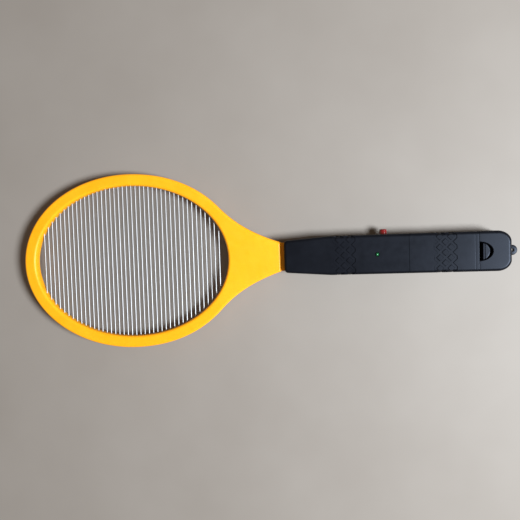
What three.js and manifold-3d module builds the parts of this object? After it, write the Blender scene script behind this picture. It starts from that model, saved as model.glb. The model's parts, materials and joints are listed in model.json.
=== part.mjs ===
// Battery-powered electric fly swatter: a yellow racket head strung with parallel steel wires,
// and a dark handle that holds two AA cells, a high-voltage circuit and a push button.
// Millimetres, +Z up. Everything is drawn with x = distance from the head's tip towards the
// handle, y = 0 on the long axis and z = 0 on the flat back of the handle. The last lines move
// the whole swatter so that its origin is under the middle of its length.

import * as THREE from 'three';
import { mergeVertices } from 'three/addons/utils/BufferGeometryUtils.js';
import Module from 'manifold-3d';

const wasm = await Module();
wasm.setup();

// ---------------------------------------------------------------- driving dimensions
const LENGTH = 444.5; // head tip to the end of the lanyard eyelet
const GAP = 0.3; // left between pieces that touch
const MIDDLE = 11; // height of the plane where all the halves meet, and of the wires

// head
const HEAD_CENTRE = 100; // of the outer ellipse and of the row of wires
const HEAD = { x: 100, y: 79.4 }; // half axes of the outer ellipse
const OPENING_CENTRE = 100.6;
const OPENING = { x: 89.8, y: 68.7 }; // half axes of the opening at the wires
const OPENING_CHAMFER = 1.2;
const ROUND_STEPS = 52; // facets round the opening
const HEAD_LOW = 6;
const HEAD_HIGH = 16;
const HEAD_CHAMFER = 1.5;
const HEAD_SKIN = 2.2; // thickness of the head's front and back skins
const OUTER_WALL = 2.8;
const INNER_WALL = 1.9;
const SHOULDER = [[129.6, HEAD.y], [160.5, 70.4]]; // control points, crown to neck join
const NECK_JOIN = { x: 182.6, y: 46.6 }; // where the flare turns from convex to concave
const FLARE = [[199, 29.1], [217, 20.3]]; // control points, neck join to neck end
const NECK_END = { x: 238, y: 13 };
const STEM = { end: 260, half: 12.6, low: 7.5, high: 14.5 };
const STEM_MOUTH = 12; // how far the handle's mouth is cut clear for the stem
const LEAD_DUCT = { start: 226, half: 9.6, low: 9, high: 13 };

// wires
const WIRE_COUNT = 42;
const WIRE_PITCH = 4;
const WIRE_RADIUS = 0.6;
const WIRE_SLOT = 1.5;
const WIRE_TAIL = 1.5; // length held in the far rim
const BUS_WIDTH = 1.6;
const BUS_OFFSET = 3; // from the opening's edge to the middle of the bus bar
const BUS_REACH = 84; // how far the bus bar runs each way from the opening's centre

// handle
const HANDLE_START = 241;
const HANDLE_KINK = 281.9; // end of the taper
const HANDLE_END = 436.3;
const HANDLE_HALF = { start: 14.1, kink: 17.2, end: 17.5 }; // half widths
const HANDLE_HIGH = 22;
const HANDLE_CHAMFER = 2;
const HANDLE_WALL = 2;
const END_CORNER = { x: 12, y: 9.5 }; // half axes of the rounded corners at the end
const FRONT_RADIUS = 4;
const EYELET = { centre: 440, radius: 4.5, hole: 1.4, half: 3.8, low: 6, high: 10.6 };

// battery bay and its cover
const BAY_FRONT = 349.8; // seam at the cover's hinge end
const BAY_REAR = 408.8; // seam at the cover's latch end
const SKIRT_LOW = 14;
const SWING_DRAFT = 0.55; // the rear seam leans in so that the cover can swing up
const TAB = { inner: 11, outer: 14.5, reach: 2.6, low: 18.1, high: 19.7 };
const FRONT_BULKHEAD = 348.4;
const REAR_BULKHEAD = 405.2;
const BULKHEAD = { thick: 1.6, high: 16.5, half: 14.9 };
const CELL = { radius: 7.1, body: 49.3, nub: 1.2, nubRadius: 2.7, offset: 7.6 };
const CELL_RIBS = { places: [360, 379, 398], thick: 1.5, high: 3.5 };
const CONTACT = { thick: 0.5, half: 5, low: 4, high: 15.8 };

// latch
const RECESS = { depth: 11.5, half: 8.1, floor: 9.5, wall: 1.2 };
const LATCH = { start: 411.9, thick: 1.2, half: 6.6, low: 11.3, high: 21.6 };
const LATCH_PAD = { length: 5.9, half: 7, thick: 1.4 };
const LATCH_HOOK = { reach: 1, half: 2.6, low: 17, high: 18.4 };
const LATCH_PIVOT = 410.15;
const KEEPER = { start: 414.4, end: 415.6, half: 3, high: 19.3 };

// electronics and button
const BOARD = { start: 266, end: 339, half: 11.9, low: 5.5, thick: 1.5 };
const BOARD_POSTS = { places: [273, 332], side: 9.5, radius: 2 };
const FILM_CAPACITOR = { start: 272, end: 278, half: 7, low: 8.6, high: 18.8 };
const DISC_CAPACITOR = { x: 287, side: 6.5, radius: 4, thick: 2.6, z: 13 };
const CORE = { x: 302, half: 8, side: 3, low: 7.6, high: 18.6, limb: 2, yoke: 2 };
const WINDING = { half: 4.7, side: 6.5, low: 9.9, high: 16.3 };
const DIODES = [313.5, 317.5, 321.5];
const TRANSISTOR = { x: 314, y: 7, thick: 3.6, half: 2.4, low: 10, high: 15 };
const LED_RESISTOR = 327;
const BLEED_RESISTOR = 331.5;
const LED = { x: 322.4, radius: 1.5, flange: 1.9, low: 16.8, high: 22.5 };
const BUTTON = { x: 329.1, radius: 3.5, hole: 3.85, flange: 4.5, tip: 21.85 };
const SWITCH = { back: 4.5, front: 9.5, half: 4, high: 14.6 };

// screws, as [x, y]
const HANDLE_SCREWS = [[252, 0], [343.8, 0], [429.5, 0]];
const YOKE_SCREW = [214, 0];
const RIM_SCREW_ANGLES = [50, 100, 150, 210, 260, 310];
const RIM_SCREW_RING = { x: 96, y: 75.4 }; // half axes, about the opening's centre
const BOSS = { head: 2.4, handle: 4 };

// ---------------------------------------------------------------- finishes
const finish = (color, roughness, metalness = 0) =>
  new THREE.MeshStandardMaterial({ color, roughness, metalness });

const yellowPlastic = finish(0xffc81e, 0.35);
const darkPlastic = finish(0x20242e, 0.45);
const redPlastic = finish(0xa01c1c, 0.2);
const greenLens = finish(0x2d8250, 0.15);
const steel = finish(0xc8ccd0, 0.3, 1);
const zincPlate = finish(0xb0b4b8, 0.4, 1);
const copper = finish(0xa85a30, 0.35, 1);
const boardLaminate = finish(0x9c7a3c, 0.6);
const cellJacket = finish(0x2a6b3c, 0.3, 0.4);
const blackPlastic = finish(0x141414, 0.5);
const ferrite = finish(0x2c2c2e, 0.7);
const filmCase = finish(0x7a2b1c, 0.35);
const ceramicBlue = finish(0x2b6ca0, 0.35);
const resistorBody = finish(0xc9a36a, 0.5);
const redWire = finish(0xb02020, 0.45);
const blackWire = finish(0x181818, 0.45);
const whiteWire = finish(0xdadada, 0.45);

// ---------------------------------------------------------------- helpers
const point = (x, y) => new THREE.Vector2(x, y);
const spot = (x, y, z) => new THREE.Vector3(x, y, z);

// A closed three.js geometry as a manifold solid.
function solid(geometry) {
  const bare = geometry.index ? geometry.toNonIndexed() : geometry.clone();
  bare.deleteAttribute('normal');
  bare.deleteAttribute('uv');
  const merged = mergeVertices(bare, 1e-4);
  const vertProperties = new Float32Array(merged.attributes.position.array);
  const triVerts = new Uint32Array(merged.index.array);
  return new wasm.Manifold(new wasm.Mesh({ numProp: 3, vertProperties, triVerts }));
}

function geometryOf(manifold) {
  const mesh = manifold.getMesh();
  const geometry = new THREE.BufferGeometry();
  const positions = [];
  for (let i = 0; i < mesh.vertProperties.length; i += mesh.numProp) {
    positions.push(...mesh.vertProperties.slice(i, i + 3));
  }
  geometry.setAttribute('position', new THREE.Float32BufferAttribute(positions, 3));
  geometry.setIndex(new THREE.BufferAttribute(new Uint32Array(mesh.triVerts), 1));
  return geometry;
}

// Points of a drawn shape, without the ones that repeat their neighbour.
function outlineOf(shape, segments) {
  const points = shape.extractPoints(segments).shape;
  return points.filter((p, i) => p.distanceTo(points[(i + 1) % points.length]) > 1e-3);
}

const join = (pieces) => pieces.reduce((whole, piece) => whole.add(piece));
const cut = (body, pieces) => pieces.reduce((whole, piece) => whole.subtract(piece), body);

// Block given by its low and high corner.
function block(x0, x1, y0, y1, z0, z1) {
  const geometry = new THREE.BoxGeometry(x1 - x0, y1 - y0, z1 - z0);
  geometry.translate((x0 + x1) / 2, (y0 + y1) / 2, (z0 + z1) / 2);
  return solid(geometry);
}

// Block that reaches the same distance to both sides of the long axis.
const wideBlock = (x0, x1, half, z0, z1) => block(x0, x1, -half, half, z0, z1);

// Upright cylinder or cone.
function post(x, y, radius, z0, z1, sides = 12, topRadius = radius) {
  const geometry = new THREE.CylinderGeometry(topRadius, radius, z1 - z0, sides);
  geometry.rotateX(Math.PI / 2);
  geometry.translate(x, y, (z0 + z1) / 2);
  return solid(geometry);
}

// Cylinder along y.
function crossRod(x, z, radius, y0, y1, sides = 16, farRadius = radius) {
  const geometry = new THREE.CylinderGeometry(farRadius, radius, y1 - y0, sides);
  geometry.translate(x, (y0 + y1) / 2, z);
  return solid(geometry);
}

// Flat outline drawn in x and y, raised from z0 to z1, with optional chamfers.
function slab(outline, z0, z1, chamfer = 0) {
  const geometry = new THREE.ExtrudeGeometry(new THREE.Shape(outline), {
    depth: z1 - z0 - 2 * chamfer,
    bevelEnabled: chamfer > 0,
    bevelThickness: chamfer,
    bevelSize: chamfer,
    bevelOffset: -chamfer,
    bevelSegments: 1,
  });
  geometry.translate(0, 0, z0 + chamfer);
  return solid(geometry);
}

// Outline drawn in x and z, reaching from y = -half to y = +half.
function sideSlab(outline, half) {
  const geometry = new THREE.ExtrudeGeometry(new THREE.Shape(outline), {
    depth: 2 * half,
    bevelEnabled: false,
  });
  geometry.rotateX(Math.PI / 2);
  geometry.translate(0, half, 0);
  return solid(geometry);
}

// Round wire or cable along a curve.
function tube(curve, radius, steps, sides = 6) {
  const section = new THREE.Shape();
  section.absarc(0, 0, radius, 0, 2 * Math.PI);
  return new THREE.ExtrudeGeometry(section, {
    extrudePath: curve,
    steps,
    curveSegments: sides / 2,
    bevelEnabled: false,
  });
}

const lead = (points, radius = 0.7, steps = 14) =>
  tube(new THREE.CatmullRomCurve3(points), radius, steps);

function part(group, name, shape, material, x = 0, y = 0, z = 0) {
  const geometry = shape.isBufferGeometry ? shape : geometryOf(shape);
  const mesh = new THREE.Mesh(geometry, material);
  mesh.name = name;
  mesh.position.set(x, y, z);
  group.add(mesh);
  return mesh;
}

// Closed ellipse about the middle of the head's opening.
function ellipse(half) {
  const curve = new THREE.EllipseCurve(OPENING_CENTRE, 0, half.x, half.y, 0, 2 * Math.PI);
  return curve.getPoints(ROUND_STEPS).slice(0, -1);
}

const grown = (half, by) => ({ x: half.x + by, y: half.y + by });

// Half width of an ellipse about the middle of the opening, at a given x.
const halfWidth = (half, x) => half.y * Math.sqrt(1 - ((x - OPENING_CENTRE) / half.x) ** 2);

// ---------------------------------------------------------------- head
// Outline of the frame, moved inwards by inset: half an ellipse, then a flare down to the neck.
function frameOutline(inset) {
  const crown = point(HEAD_CENTRE, HEAD.y);
  const turn = point(NECK_JOIN.x, NECK_JOIN.y);
  const curves = [
    new THREE.EllipseCurve(HEAD_CENTRE, 0, HEAD.x, HEAD.y, Math.PI, Math.PI / 2, true),
    new THREE.CubicBezierCurve(crown, ...SHOULDER.map(([x, y]) => point(x, y)), turn),
    new THREE.CubicBezierCurve(turn, ...FLARE.map(([x, y]) => point(x, y)), point(NECK_END.x, NECK_END.y)),
  ];
  const steps = [18, 8, 8];
  const upper = [];
  curves.forEach((curve, i) => {
    for (let step = i ? 1 : 0; step <= steps[i]; step += 1) {
      const t = step / steps[i];
      const along = curve.getTangent(t);
      upper.push(curve.getPoint(t).add(point(along.y, -along.x).multiplyScalar(inset)));
    }
  });
  const lower = upper.slice(1).reverse().map((p) => point(p.x, -p.y));
  return [...upper, ...lower];
}

const rimScrews = RIM_SCREW_ANGLES.map((degrees) => {
  const angle = THREE.MathUtils.degToRad(degrees);
  const x = OPENING_CENTRE + RIM_SCREW_RING.x * Math.cos(angle);
  return [x, RIM_SCREW_RING.y * Math.sin(angle)];
});
const frameScrews = [...rimScrews, YOKE_SCREW];

// Both frame halves as one hollow body, before it is parted.
function wholeFrame() {
  const opening = slab(ellipse(OPENING), HEAD_LOW - 1, HEAD_HIGH + 1);
  const widened = 1 + OPENING_CHAMFER / OPENING.x;
  const flare = new THREE.CylinderGeometry(widened, 1, OPENING_CHAMFER, ROUND_STEPS);
  flare.rotateX(Math.PI / 2);
  flare.scale(OPENING.x, OPENING.y, 1);
  flare.translate(OPENING_CENTRE, 0, HEAD_HIGH - OPENING_CHAMFER / 2 + 0.01);
  const topFlare = solid(flare);
  const backFlare = topFlare.mirror([0, 0, 1]).translate([0, 0, HEAD_LOW + HEAD_HIGH]);

  const cavity = slab(frameOutline(OUTER_WALL), HEAD_LOW + HEAD_SKIN, HEAD_HIGH - HEAD_SKIN);
  const innerWall = slab(ellipse(grown(OPENING, INNER_WALL)), HEAD_LOW, HEAD_HIGH);
  const endWall = wideBlock(NECK_END.x - OUTER_WALL, NECK_END.x + 1, 20, HEAD_LOW, HEAD_HIGH);
  const hollow = cut(cavity, [innerWall, endWall]);

  const stem = wideBlock(NECK_END.x - 1, STEM.end, STEM.half, STEM.low, STEM.high);
  const duct = wideBlock(LEAD_DUCT.start, STEM.end + 1, LEAD_DUCT.half, LEAD_DUCT.low, LEAD_DUCT.high);
  const outside = slab(frameOutline(0), HEAD_LOW, HEAD_HIGH, HEAD_CHAMFER).add(stem);

  const [stemX, stemY] = HANDLE_SCREWS[0];
  const bosses = frameScrews.map(([x, y]) => post(x, y, BOSS.head, HEAD_LOW + 1, HEAD_HIGH - 1));
  bosses.push(post(stemX, stemY, 3.4, STEM.low + 0.5, STEM.high - 0.5));
  const holes = frameScrews.flatMap(([x, y]) => [
    post(x, y, 1.3, HEAD_LOW - 1, HEAD_HIGH - 1.6),
    post(x, y, 2.3, HEAD_LOW - 1, HEAD_LOW + 1.6),
  ]);
  holes.push(post(stemX, stemY, 1.7, STEM.low - 1, STEM.high + 1));

  const shell = join([cut(outside, [hollow, duct]), ...bosses]);
  return cut(shell, [opening, topFlare, backFlare, ...holes]);
}

const wirePlaces = Array.from(
  { length: WIRE_COUNT },
  (_, i) => HEAD_CENTRE + (i - (WIRE_COUNT - 1) / 2) * WIRE_PITCH,
);

// Slots across the back half in which the wires lie.
function wireSlots() {
  const bus = grown(OPENING, BUS_OFFSET);
  const low = MIDDLE - WIRE_SLOT / 2;
  return join(wirePlaces.map((x) => {
    return wideBlock(x - WIRE_SLOT / 2, x + WIRE_SLOT / 2, halfWidth(bus, x), low, MIDDLE);
  }));
}

// The front half clears the wires with one shallow step round the opening.
const wireStep = () =>
  slab(ellipse(grown(OPENING, INNER_WALL + 0.5)), MIDDLE, MIDDLE + WIRE_SLOT / 2);

function addFrame(group) {
  const whole = wholeFrame();
  const lower = wideBlock(-1, STEM.end + 1, HEAD.y + 1, 0, MIDDLE - GAP / 2);
  const upper = wideBlock(-1, STEM.end + 1, HEAD.y + 1, MIDDLE + GAP / 2, HANDLE_HIGH);
  part(group, 'frame_rear', whole.intersect(lower).subtract(wireSlots()), yellowPlastic);
  part(group, 'frame_front', whole.intersect(upper).subtract(wireStep()), yellowPlastic);
}

// One electrode: every second wire, joined by a bus bar hidden in the rim on one side.
function electrode(first, side) {
  const bus = grown(OPENING, BUS_OFFSET);
  const span = Math.acos(BUS_REACH / bus.x);
  const arc = (half) =>
    new THREE.EllipseCurve(OPENING_CENTRE, 0, half.x, half.y, span, Math.PI - span).getPoints(28);
  const outer = arc(grown(bus, BUS_WIDTH / 2));
  const inner = arc(grown(bus, -BUS_WIDTH / 2)).reverse();
  const outline = [...outer, ...inner].map((p) => point(p.x, p.y * side));
  if (side < 0) {
    outline.reverse();
  }
  const bar = slab(outline, MIDDLE - BUS_WIDTH / 2, MIDDLE + BUS_WIDTH / 2);
  const wires = wirePlaces.filter((_, i) => i % 2 === first).map((x) => {
    const near = halfWidth(bus, x) * side;
    const far = -(halfWidth(OPENING, x) + WIRE_TAIL) * side;
    return crossRod(x, MIDDLE, WIRE_RADIUS, Math.min(near, far), Math.max(near, far), 6);
  });
  return join([bar, ...wires]);
}

function addElectrodes(group) {
  part(group, 'electrode_comb_1', electrode(0, 1), steel);
  part(group, 'electrode_comb_2', electrode(1, -1), steel);
}

// Self-tapping screw, head down, with its head's underside at the origin.
function screw(headRadius, headHigh, shankRadius, length) {
  const profile = [
    point(0, -headHigh),
    point(headRadius, -headHigh),
    point(headRadius, 0),
    point(shankRadius, 0),
    point(shankRadius, length - shankRadius),
    point(0.2, length),
    point(0, length),
  ];
  const geometry = new THREE.LatheGeometry(profile, 8);
  geometry.rotateX(Math.PI / 2);
  return solid(geometry);
}

function addFrameScrews(group) {
  frameScrews.forEach(([x, y], i) => {
    part(group, `frame_screw_${i + 1}`, screw(2, 1.2, 1, 6.6), zincPlate, x, y, HEAD_LOW + 1.3);
  });
}

// ---------------------------------------------------------------- handle
// Outline of the handle, moved inwards by inset: a tapered front and a round end.
function handleOutline(inset) {
  const front = HANDLE_START + inset;
  const end = HANDLE_END - inset;
  const start = HANDLE_HALF.start - inset;
  const kink = HANDLE_HALF.kink - inset;
  const half = HANDLE_HALF.end - inset;
  const corner = Math.max(FRONT_RADIUS - inset, 0.5);
  const round = { x: END_CORNER.x - inset, y: END_CORNER.y - inset };
  const outline = new THREE.Shape();
  outline.moveTo(front, start - corner);
  outline.lineTo(front, corner - start);
  outline.quadraticCurveTo(front, -start, front + corner, -start);
  outline.lineTo(HANDLE_KINK, -kink);
  outline.lineTo(end - round.x, -half);
  outline.absellipse(end - round.x, round.y - half, round.x, round.y, -Math.PI / 2, 0);
  outline.absellipse(end - round.x, half - round.y, round.x, round.y, 0, Math.PI / 2);
  outline.lineTo(HANDLE_KINK, kink);
  outline.lineTo(front + corner, start);
  outline.quadraticCurveTo(front, start, front, start - corner);
  return outlineOf(outline, 5);
}

const handleBlock = () => slab(handleOutline(0), 0, HANDLE_HIGH, HANDLE_CHAMFER);
const handleHollow = () => slab(handleOutline(HANDLE_WALL), HANDLE_WALL, HANDLE_HIGH - HANDLE_WALL);
const stemMouth = () => {
  const end = HANDLE_START + STEM_MOUTH;
  return wideBlock(HANDLE_START - 1, end, STEM.half + GAP, STEM.low - GAP, STEM.high + GAP);
};
const buttonHole = () => crossRod(BUTTON.x, MIDDLE, BUTTON.hole, HANDLE_HALF.kink - 4, 20);

// Space of the battery cover, seen from the side, grown by a clearance.
function coverSpace(clearance) {
  const front = BAY_FRONT - clearance;
  const rear = BAY_REAR + clearance;
  const low = SKIRT_LOW - clearance;
  const outline = [
    point(front, HANDLE_HIGH + 1),
    point(front, low),
    point(rear - SWING_DRAFT, low),
    point(rear, HANDLE_HIGH),
    point(rear, HANDLE_HIGH + 1),
  ];
  return sideSlab(outline.reverse(), 20);
}

function bulkhead(x) {
  const wall = wideBlock(x, x + BULKHEAD.thick, BULKHEAD.half, HANDLE_WALL - 0.5, BULKHEAD.high);
  const notches = [-1, 1].map((side) => {
    const y = side * CELL.offset;
    return block(x - 1, x + 3, y - 1.6, y + 1.6, 13, BULKHEAD.high + 1);
  });
  return x === FRONT_BULKHEAD ? cut(wall, notches) : wall;
}

function addRearShell(group) {
  const half = wideBlock(HANDLE_START - 1, HANDLE_END + 1, 20, -1, MIDDLE - GAP / 2);
  const tray = handleBlock().subtract(handleHollow()).intersect(half);
  const [stemScrew, ...closingScrews] = HANDLE_SCREWS;
  const bosses = [
    post(...stemScrew, BOSS.handle, 0.5, STEM.low - GAP),
    ...closingScrews.map(([x, y]) => post(x, y, BOSS.handle, 0.5, MIDDLE - GAP / 2)),
  ];
  const holes = HANDLE_SCREWS.flatMap(([x, y]) => [
    post(x, y, 1.7, -1, MIDDLE + 1),
    post(x, y, 2.8, -1, 2.2),
  ]);
  const boardPosts = BOARD_POSTS.places.flatMap((x) => [-1, 1].map((side) => {
    const y = side * BOARD_POSTS.side;
    return post(x, y, BOARD_POSTS.radius, HANDLE_WALL - 0.5, BOARD.low - GAP, 8);
  }));
  const ribs = CELL_RIBS.places.map((x) => {
    return wideBlock(x, x + CELL_RIBS.thick, BULKHEAD.half + 0.5, HANDLE_WALL - 0.5, CELL_RIBS.high);
  });
  const lug = new THREE.Shape();
  lug.moveTo(HANDLE_END - 1, -EYELET.half);
  lug.lineTo(EYELET.centre, -EYELET.radius);
  lug.absarc(EYELET.centre, 0, EYELET.radius, -Math.PI / 2, Math.PI / 2);
  lug.lineTo(HANDLE_END - 1, EYELET.half);
  const eyelet = slab(outlineOf(lug, 8), EYELET.low, EYELET.high);
  const eyeletHole = post(EYELET.centre, 0, EYELET.hole, EYELET.low - 1, EYELET.high + 1, 12);
  const walls = [bulkhead(FRONT_BULKHEAD), bulkhead(REAR_BULKHEAD)];
  const shell = join([tray, ...bosses, ...boardPosts, ...ribs, ...walls, eyelet]);
  const open = cut(shell, [...holes, stemMouth(), buttonHole(), eyeletHole]);
  part(group, 'handle_rear_shell', open, darkPlastic);
}

// D-shaped outline with its straight side at x = start.
function latchOutline(start, depth, half) {
  const arc = new THREE.EllipseCurve(start, 0, depth, half, -Math.PI / 2, Math.PI / 2);
  return arc.getPoints(14);
}

// Pocket behind the cover in which the latch moves, with the keeper rib that the latch hooks on.
function latchPocket() {
  const { depth, half, floor, wall } = RECESS;
  const around = latchOutline(BAY_REAR, depth + wall, half + wall);
  const outside = slab(around, floor - wall, HANDLE_HIGH - 1.5);
  const freeEnd = wideBlock(BAY_REAR - 1, BAY_REAR + 0.4, half + 3, 0, HANDLE_HIGH - HANDLE_WALL);
  const inside = slab(latchOutline(BAY_REAR, depth, half), floor, HANDLE_HIGH + 1);
  const keeper = wideBlock(KEEPER.start, KEEPER.end, KEEPER.half, floor - 0.2, KEEPER.high);
  return { outside: outside.subtract(freeEnd), inside, keeper };
}

function addFrontShell(group) {
  const half = wideBlock(HANDLE_START - 1, HANDLE_END + 1, 20, MIDDLE + GAP / 2, HANDLE_HIGH + 1);
  const lid = handleBlock().subtract(handleHollow()).intersect(half);
  const [[stemX, stemY], ...closingScrews] = HANDLE_SCREWS;
  const top = HANDLE_HIGH - 1;
  const bosses = [
    post(stemX, stemY, BOSS.handle, STEM.high + GAP, top),
    ...closingScrews.map(([x, y]) => post(x, y, BOSS.handle, MIDDLE + GAP / 2, top)),
  ];
  const holes = HANDLE_SCREWS.map(([x, y]) => post(x, y, 1.6, MIDDLE - 1, 19.2));
  const pocket = latchPocket();
  const ledHole = post(LED.x, 0, LED.radius + 0.3, HANDLE_HIGH - 4, HANDLE_HIGH + 1, 16);
  const shell = join([lid, ...bosses, pocket.outside]);
  const open = cut(shell, [
    ...holes, coverSpace(GAP / 2), pocket.inside, ledHole, stemMouth(), buttonHole(),
  ]);
  part(group, 'handle_front_shell', open.add(pocket.keeper), darkPlastic);
}

function addHandleScrews(group) {
  HANDLE_SCREWS.forEach(([x, y], i) => {
    part(group, `handle_screw_${i + 1}`, screw(2.4, 1.5, 1.3, 16.9), zincPlate, x, y, 1.9);
  });
}

// ---------------------------------------------------------------- battery cover and latch
function addBatteryCover(group) {
  const skin = handleBlock().subtract(handleHollow()).intersect(coverSpace(-GAP / 2));
  const tabs = [-1, 1].flatMap((side) => {
    const near = side * TAB.inner;
    const far = side * TAB.outer;
    const [y0, y1] = [Math.min(near, far), Math.max(near, far)];
    const root = BAY_FRONT + TAB.reach;
    return [
      block(BAY_FRONT - TAB.reach + 0.1, root, y0, y1, TAB.low, TAB.high),
      block(BAY_FRONT + 0.5, root, y0, y1, TAB.low, TAB.high + 0.8),
    ];
  });
  const legStart = REAR_BULKHEAD + BULKHEAD.thick + GAP;
  const legs = [
    wideBlock(legStart, legStart + 1, LATCH.half, LATCH.low, HANDLE_HIGH - 1.5),
    wideBlock(legStart, LATCH_PIVOT - GAP / 2, LATCH.half, LATCH.low, LATCH.low + 1),
  ];
  part(group, 'battery_cover', join([skin, ...tabs, ...legs]), darkPlastic);
}

function addLatch(group) {
  const { start, thick, half, low, high } = LATCH;
  const pad = latchOutline(start, LATCH_PAD.length, LATCH_PAD.half);
  const pieces = [
    wideBlock(LATCH_PIVOT + GAP / 2, start + thick, half, low, low + 1),
    wideBlock(start, start + thick, half, low, high - 0.5),
    slab(pad, high - LATCH_PAD.thick, high),
    wideBlock(
      start + thick - 0.2, start + thick + LATCH_HOOK.reach,
      LATCH_HOOK.half, LATCH_HOOK.low, LATCH_HOOK.high,
    ),
  ];
  part(group, 'cover_latch', join(pieces), darkPlastic);
}

// ---------------------------------------------------------------- batteries and contacts
const cellFront = FRONT_BULKHEAD + BULKHEAD.thick + GAP + CONTACT.thick; // face of the front contacts
const cellRear = REAR_BULKHEAD - GAP - CONTACT.thick; // face of the rear contact

function cell() {
  const { radius, body, nub, nubRadius } = CELL;
  const profile = [
    point(0, 0),
    point(radius - 0.5, 0),
    point(radius, 0.5),
    point(radius, body - 0.6),
    point(radius - 0.6, body),
    point(nubRadius, body),
    point(nubRadius, body + nub),
    point(0, body + nub),
  ];
  return new THREE.LatheGeometry(profile, 16);
}

function addBatteries(group) {
  const length = CELL.body + CELL.nub;
  const firstBase = cellFront + GAP + length;
  const secondBase = cellRear - GAP - length;
  const first = part(group, 'battery_1', cell(), cellJacket, firstBase, CELL.offset, MIDDLE);
  const second = part(group, 'battery_2', cell(), cellJacket, secondBase, -CELL.offset, MIDDLE);
  first.rotation.z = Math.PI / 2;
  second.rotation.z = -Math.PI / 2;
}

// Round wire wound into a coil along x, or along y, starting at the given place.
class Coil extends THREE.Curve {
  constructor(origin, direction, radius, turns, taper = 1) {
    super();
    Object.assign(this, { origin, direction, radius, turns, taper });
  }

  getPoint(t) {
    const angle = 2 * Math.PI * this.turns * t;
    const radius = this.radius * (1 + (this.taper - 1) * t);
    const round = spot(0, radius * Math.cos(angle), radius * Math.sin(angle));
    const turned = this.direction.y ? spot(round.y, 0, round.z) : round;
    return turned.add(this.origin).addScaledVector(this.direction, t);
  }
}

function contactPlate(x, y) {
  return block(x, x + CONTACT.thick, y - CONTACT.half, y + CONTACT.half, CONTACT.low, CONTACT.high);
}

// Conical battery spring joined to its plate.
function contactSpring(x, y, towards) {
  const room = cellRear - cellFront - CELL.body - CELL.nub - 2 * GAP;
  const wire = 0.4;
  const origin = spot(x + towards * 0.3, y, MIDDLE);
  const direction = spot(towards * (room - wire - 0.3), 0, 0);
  return solid(tube(new Coil(origin, direction, 4.4, 2, 0.6), wire, 24));
}

function addContacts(group) {
  const front = cellFront - CONTACT.thick;
  const lug = (y) => block(front - 3.4, front + 0.3, y - 1.2, y + 1.2, 14, 14.6);
  const positive = join([contactPlate(front, CELL.offset), lug(CELL.offset)]);
  const negative = join([
    contactPlate(front, -CELL.offset), lug(-CELL.offset), contactSpring(cellFront, -CELL.offset, 1),
  ]);
  const bridge = join([
    contactPlate(cellRear, CELL.offset), contactPlate(cellRear, -CELL.offset),
    wideBlock(cellRear, cellRear + CONTACT.thick, CELL.offset, 8, 12),
    contactSpring(cellRear, CELL.offset, -1),
  ]);
  part(group, 'contact_positive', positive, steel);
  part(group, 'contact_negative', negative, steel);
  part(group, 'contact_bridge', bridge, steel);
}

// ---------------------------------------------------------------- electronics
const boardTop = BOARD.low + BOARD.thick;
const onBoard = boardTop + GAP;

const leg = (x, y, top) => block(x - 0.3, x + 0.3, y - 0.3, y + 0.3, onBoard, top);

function addBoard(group) {
  const board = wideBlock(BOARD.start, BOARD.end, BOARD.half, BOARD.low, boardTop);
  part(group, 'circuit_board', board, boardLaminate);
}

function addTransformer(group) {
  const { x, half, side, low, high, limb, yoke } = CORE;
  const window = (sign) => {
    const [near, far] = [x + sign * limb, x + sign * (half - 3)];
    return block(Math.min(near, far), Math.max(near, far), -side - 1, side + 1, low + yoke, high - yoke);
  };
  const core = cut(block(x - half, x + half, -side, side, low, high), [window(-1), window(1)]);
  const bore = limb + GAP;
  const coil = cut(
    block(x - WINDING.half, x + WINDING.half, -WINDING.side, WINDING.side, WINDING.low, WINDING.high),
    [block(x - bore, x + bore, -side - GAP, side + GAP, WINDING.low - 1, WINDING.high + 1)],
  );
  part(group, 'transformer_core', core, ferrite);
  part(group, 'transformer_winding', coil, copper);
}

function addCapacitors(group) {
  const { start, end, half, low, high } = FILM_CAPACITOR;
  const middle = (start + end) / 2;
  const film = join([
    block(start, end, -half, half, low, high), leg(middle, -4, low + 0.4), leg(middle, 4, low + 0.4),
  ]);
  part(group, 'output_capacitor', film, filmCase);
  [-1, 1].forEach((side, i) => {
    const { x, radius, thick, z } = DISC_CAPACITOR;
    const y = side * DISC_CAPACITOR.side;
    const disc = new THREE.CylinderGeometry(radius, radius, thick, 14);
    disc.rotateZ(Math.PI / 2);
    disc.translate(x, y, z);
    const body = join([solid(disc), leg(x, y - 2, z - 1), leg(x, y + 2, z - 1)]);
    part(group, `multiplier_capacitor_${i + 1}`, body, ceramicBlue);
  });
}

// Axial part lying across the board on two bent legs.
function axialPart(x, y, radius, length) {
  const z = onBoard + radius + 0.5;
  const span = length / 2 + 1.5;
  return join([
    crossRod(x, z, radius, y - length / 2, y + length / 2, 10),
    block(x - 0.3, x + 0.3, y - span - 0.3, y + span + 0.3, z - 0.3, z + 0.3),
    leg(x, y - span, z),
    leg(x, y + span, z),
  ]);
}

function addSmallParts(group) {
  DIODES.forEach((x, i) => {
    part(group, `diode_${i + 1}`, axialPart(x, -7.5, 1.3, 5), blackPlastic);
  });
  part(group, 'led_resistor', axialPart(LED_RESISTOR, -7.5, 1.1, 6), resistorBody);
  part(group, 'bleed_resistor', axialPart(BLEED_RESISTOR, -7.5, 1.1, 6), resistorBody);
  const { x, y, thick, half, low, high } = TRANSISTOR;
  const legs = [-1.3, 0, 1.3].map((side) => leg(thick / 2, side, low + 0.5));
  const transistor = join([wideBlock(0, thick, half, low, high), ...legs]);
  part(group, 'oscillator_transistor', transistor, blackPlastic, x, y, 0);
}

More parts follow.
